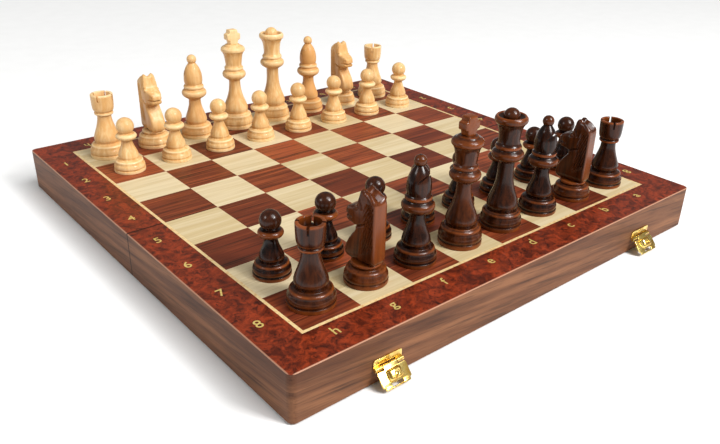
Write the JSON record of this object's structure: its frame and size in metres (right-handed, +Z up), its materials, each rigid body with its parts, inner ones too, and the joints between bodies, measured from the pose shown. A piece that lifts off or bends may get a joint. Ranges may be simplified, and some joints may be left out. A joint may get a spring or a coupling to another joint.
{
  "type": "folding chess set",
  "caption": "Folding wooden chess box opened flat as a board, hinged along the middle, with brass hasps, felt-lined storage trays and two turned armies of chessmen.",
  "frame": {"origin": "middle of the fold line, on the plane the rims rest on; the fold hinge's axis passes through it", "axes": "+Z up out of the playing surface; the fold line runs along X; -Y is the side with the hasps (rank 8, black's side); +X is towards the a-file"},
  "size_m": [0.356, 0.3708, 0.1136],
  "materials": {
    "walnut_rail": "satin clear lacquer",
    "plywood_panel": "bare plywood",
    "bubinga_veneer": "gloss lacquer",
    "pale_stringing": "gloss lacquer",
    "maple_veneer": "gloss lacquer",
    "dark_veneer": "gloss lacquer",
    "felt_lining": "matte felt",
    "polished_brass": "polished",
    "boxwood_men": "satin lacquer",
    "stained_men": "dark stain under gloss lacquer, worn to orange on the crests"
  },
  "bodies": {
    "front_half": {"front_rails": "walnut_rail", "front_panel": "plywood_panel", "front_border_veneer": "bubinga_veneer", "front_stringing": "pale_stringing", "front_light_squares": "maple_veneer", "front_dark_squares": "dark_veneer", "front_tray_lining": "felt_lining", "front_hinge_leaves": "polished_brass", "front_hinge_screws": "polished_brass", "fold_hinge_pins": "polished_brass", "latch_plates": "polished_brass", "latch_pins": "polished_brass", "latch_screws": "polished_brass"},
    "rear_half": {"rear_rails": "walnut_rail", "rear_panel": "plywood_panel", "rear_border_veneer": "bubinga_veneer", "rear_stringing": "pale_stringing", "rear_light_squares": "maple_veneer", "rear_dark_squares": "dark_veneer", "rear_tray_lining": "felt_lining", "rear_hinge_leaves": "polished_brass", "rear_hinge_screws": "polished_brass", "latch_keepers": "polished_brass", "keeper_nails": "polished_brass"},
    "hasp_left": {"hasp_left": "polished_brass"},
    "hasp_right": {"hasp_right": "polished_brass"},
    "white_rook_a1": {"white_rook_a1": "boxwood_men"},
    "white_pawn_a2": {"white_pawn_a2": "boxwood_men"},
    "black_pawn_a7": {"black_pawn_a7": "stained_men"},
    "black_rook_a8": {"black_rook_a8": "stained_men"},
    "white_knight_b1": {"white_knight_b1": "boxwood_men"},
    "white_pawn_b2": {"white_pawn_b2": "boxwood_men"},
    "black_pawn_b7": {"black_pawn_b7": "stained_men"},
    "black_knight_b8": {"black_knight_b8": "stained_men"},
    "white_bishop_c1": {"white_bishop_c1": "boxwood_men"},
    "white_pawn_c2": {"white_pawn_c2": "boxwood_men"},
    "black_pawn_c7": {"black_pawn_c7": "stained_men"},
    "black_bishop_c8": {"black_bishop_c8": "stained_men"},
    "white_queen_d1": {"white_queen_d1": "boxwood_men"},
    "white_pawn_d2": {"white_pawn_d2": "boxwood_men"},
    "black_pawn_d7": {"black_pawn_d7": "stained_men"},
    "black_queen_d8": {"black_queen_d8": "stained_men"},
    "white_king_e1": {"white_king_e1": "boxwood_men"},
    "white_pawn_e2": {"white_pawn_e2": "boxwood_men"},
    "black_pawn_e7": {"black_pawn_e7": "stained_men"},
    "black_king_e8": {"black_king_e8": "stained_men"},
    "white_bishop_f1": {"white_bishop_f1": "boxwood_men"},
    "white_pawn_f2": {"white_pawn_f2": "boxwood_men"},
    "black_pawn_f7": {"black_pawn_f7": "stained_men"},
    "black_bishop_f8": {"black_bishop_f8": "stained_men"},
    "white_knight_g1": {"white_knight_g1": "boxwood_men"},
    "white_pawn_g2": {"white_pawn_g2": "boxwood_men"},
    "black_pawn_g7": {"black_pawn_g7": "stained_men"},
    "black_knight_g8": {"black_knight_g8": "stained_men"},
    "white_rook_h1": {"white_rook_h1": "boxwood_men"},
    "white_pawn_h2": {"white_pawn_h2": "boxwood_men"},
    "black_pawn_h7": {"black_pawn_h7": "stained_men"},
    "black_rook_h8": {"black_rook_h8": "stained_men"}
  },
  "joints": [
    {"name": "fold_hinge", "type": "hinge", "parent": "front_half", "child": "rear_half", "pos_m": [0, 0, 0], "axis": [-1, 0, 0], "range_deg": [0, 180]},
    {"name": "hasp_left_hinge", "type": "hinge", "parent": "front_half", "child": "hasp_left", "pos_m": [-0.1175, -0.1795, 0.0093], "axis": [-1, 0, 0], "range_deg": [-42, 92]},
    {"name": "hasp_right_hinge", "type": "hinge", "parent": "front_half", "child": "hasp_right", "pos_m": [0.1175, -0.1795, 0.0093], "axis": [-1, 0, 0], "range_deg": [-42, 92]},
    {"name": "lift_white_rook_a1", "type": "slide", "parent": "rear_half", "child": "white_rook_a1", "axis": [0, 0, 1], "range_m": [0, 0.12]},
    {"name": "lift_white_pawn_a2", "type": "slide", "parent": "rear_half", "child": "white_pawn_a2", "axis": [0, 0, 1], "range_m": [0, 0.12]},
    {"name": "lift_black_pawn_a7", "type": "slide", "parent": "front_half", "child": "black_pawn_a7", "axis": [0, 0, 1], "range_m": [0, 0.12]},
    {"name": "lift_black_rook_a8", "type": "slide", "parent": "front_half", "child": "black_rook_a8", "axis": [0, 0, 1], "range_m": [0, 0.12]},
    {"name": "lift_white_knight_b1", "type": "slide", "parent": "rear_half", "child": "white_knight_b1", "axis": [0, 0, 1], "range_m": [0, 0.12]},
    {"name": "lift_white_pawn_b2", "type": "slide", "parent": "rear_half", "child": "white_pawn_b2", "axis": [0, 0, 1], "range_m": [0, 0.12]},
    {"name": "lift_black_pawn_b7", "type": "slide", "parent": "front_half", "child": "black_pawn_b7", "axis": [0, 0, 1], "range_m": [0, 0.12]},
    {"name": "lift_black_knight_b8", "type": "slide", "parent": "front_half", "child": "black_knight_b8", "axis": [0, 0, 1], "range_m": [0, 0.12]},
    {"name": "lift_white_bishop_c1", "type": "slide", "parent": "rear_half", "child": "white_bishop_c1", "axis": [0, 0, 1], "range_m": [0, 0.12]},
    {"name": "lift_white_pawn_c2", "type": "slide", "parent": "rear_half", "child": "white_pawn_c2", "axis": [0, 0, 1], "range_m": [0, 0.12]},
    {"name": "lift_black_pawn_c7", "type": "slide", "parent": "front_half", "child": "black_pawn_c7", "axis": [0, 0, 1], "range_m": [0, 0.12]},
    {"name": "lift_black_bishop_c8", "type": "slide", "parent": "front_half", "child": "black_bishop_c8", "axis": [0, 0, 1], "range_m": [0, 0.12]},
    {"name": "lift_white_queen_d1", "type": "slide", "parent": "rear_half", "child": "white_queen_d1", "axis": [0, 0, 1], "range_m": [0, 0.12]},
    {"name": "lift_white_pawn_d2", "type": "slide", "parent": "rear_half", "child": "white_pawn_d2", "axis": [0, 0, 1], "range_m": [0, 0.12]},
    {"name": "lift_black_pawn_d7", "type": "slide", "parent": "front_half", "child": "black_pawn_d7", "axis": [0, 0, 1], "range_m": [0, 0.12]},
    {"name": "lift_black_queen_d8", "type": "slide", "parent": "front_half", "child": "black_queen_d8", "axis": [0, 0, 1], "range_m": [0, 0.12]},
    {"name": "lift_white_king_e1", "type": "slide", "parent": "rear_half", "child": "white_king_e1", "axis": [0, 0, 1], "range_m": [0, 0.12]},
    {"name": "lift_white_pawn_e2", "type": "slide", "parent": "rear_half", "child": "white_pawn_e2", "axis": [0, 0, 1], "range_m": [0, 0.12]},
    {"name": "lift_black_pawn_e7", "type": "slide", "parent": "front_half", "child": "black_pawn_e7", "axis": [0, 0, 1], "range_m": [0, 0.12]},
    {"name": "lift_black_king_e8", "type": "slide", "parent": "front_half", "child": "black_king_e8", "axis": [0, 0, 1], "range_m": [0, 0.12]},
    {"name": "lift_white_bishop_f1", "type": "slide", "parent": "rear_half", "child": "white_bishop_f1", "axis": [0, 0, 1], "range_m": [0, 0.12]},
    {"name": "lift_white_pawn_f2", "type": "slide", "parent": "rear_half", "child": "white_pawn_f2", "axis": [0, 0, 1], "range_m": [0, 0.12]},
    {"name": "lift_black_pawn_f7", "type": "slide", "parent": "front_half", "child": "black_pawn_f7", "axis": [0, 0, 1], "range_m": [0, 0.12]},
    {"name": "lift_black_bishop_f8", "type": "slide", "parent": "front_half", "child": "black_bishop_f8", "axis": [0, 0, 1], "range_m": [0, 0.12]},
    {"name": "lift_white_knight_g1", "type": "slide", "parent": "rear_half", "child": "white_knight_g1", "axis": [0, 0, 1], "range_m": [0, 0.12]},
    {"name": "lift_white_pawn_g2", "type": "slide", "parent": "rear_half", "child": "white_pawn_g2", "axis": [0, 0, 1], "range_m": [0, 0.12]},
    {"name": "lift_black_pawn_g7", "type": "slide", "parent": "front_half", "child": "black_pawn_g7", "axis": [0, 0, 1], "range_m": [0, 0.12]},
    {"name": "lift_black_knight_g8", "type": "slide", "parent": "front_half", "child": "black_knight_g8", "axis": [0, 0, 1], "range_m": [0, 0.12]},
    {"name": "lift_white_rook_h1", "type": "slide", "parent": "rear_half", "child": "white_rook_h1", "axis": [0, 0, 1], "range_m": [0, 0.12]},
    {"name": "lift_white_pawn_h2", "type": "slide", "parent": "rear_half", "child": "white_pawn_h2", "axis": [0, 0, 1], "range_m": [0, 0.12]},
    {"name": "lift_black_pawn_h7", "type": "slide", "parent": "front_half", "child": "black_pawn_h7", "axis": [0, 0, 1], "range_m": [0, 0.12]},
    {"name": "lift_black_rook_h8", "type": "slide", "parent": "front_half", "child": "black_rook_h8", "axis": [0, 0, 1], "range_m": [0, 0.12]}
  ]
}
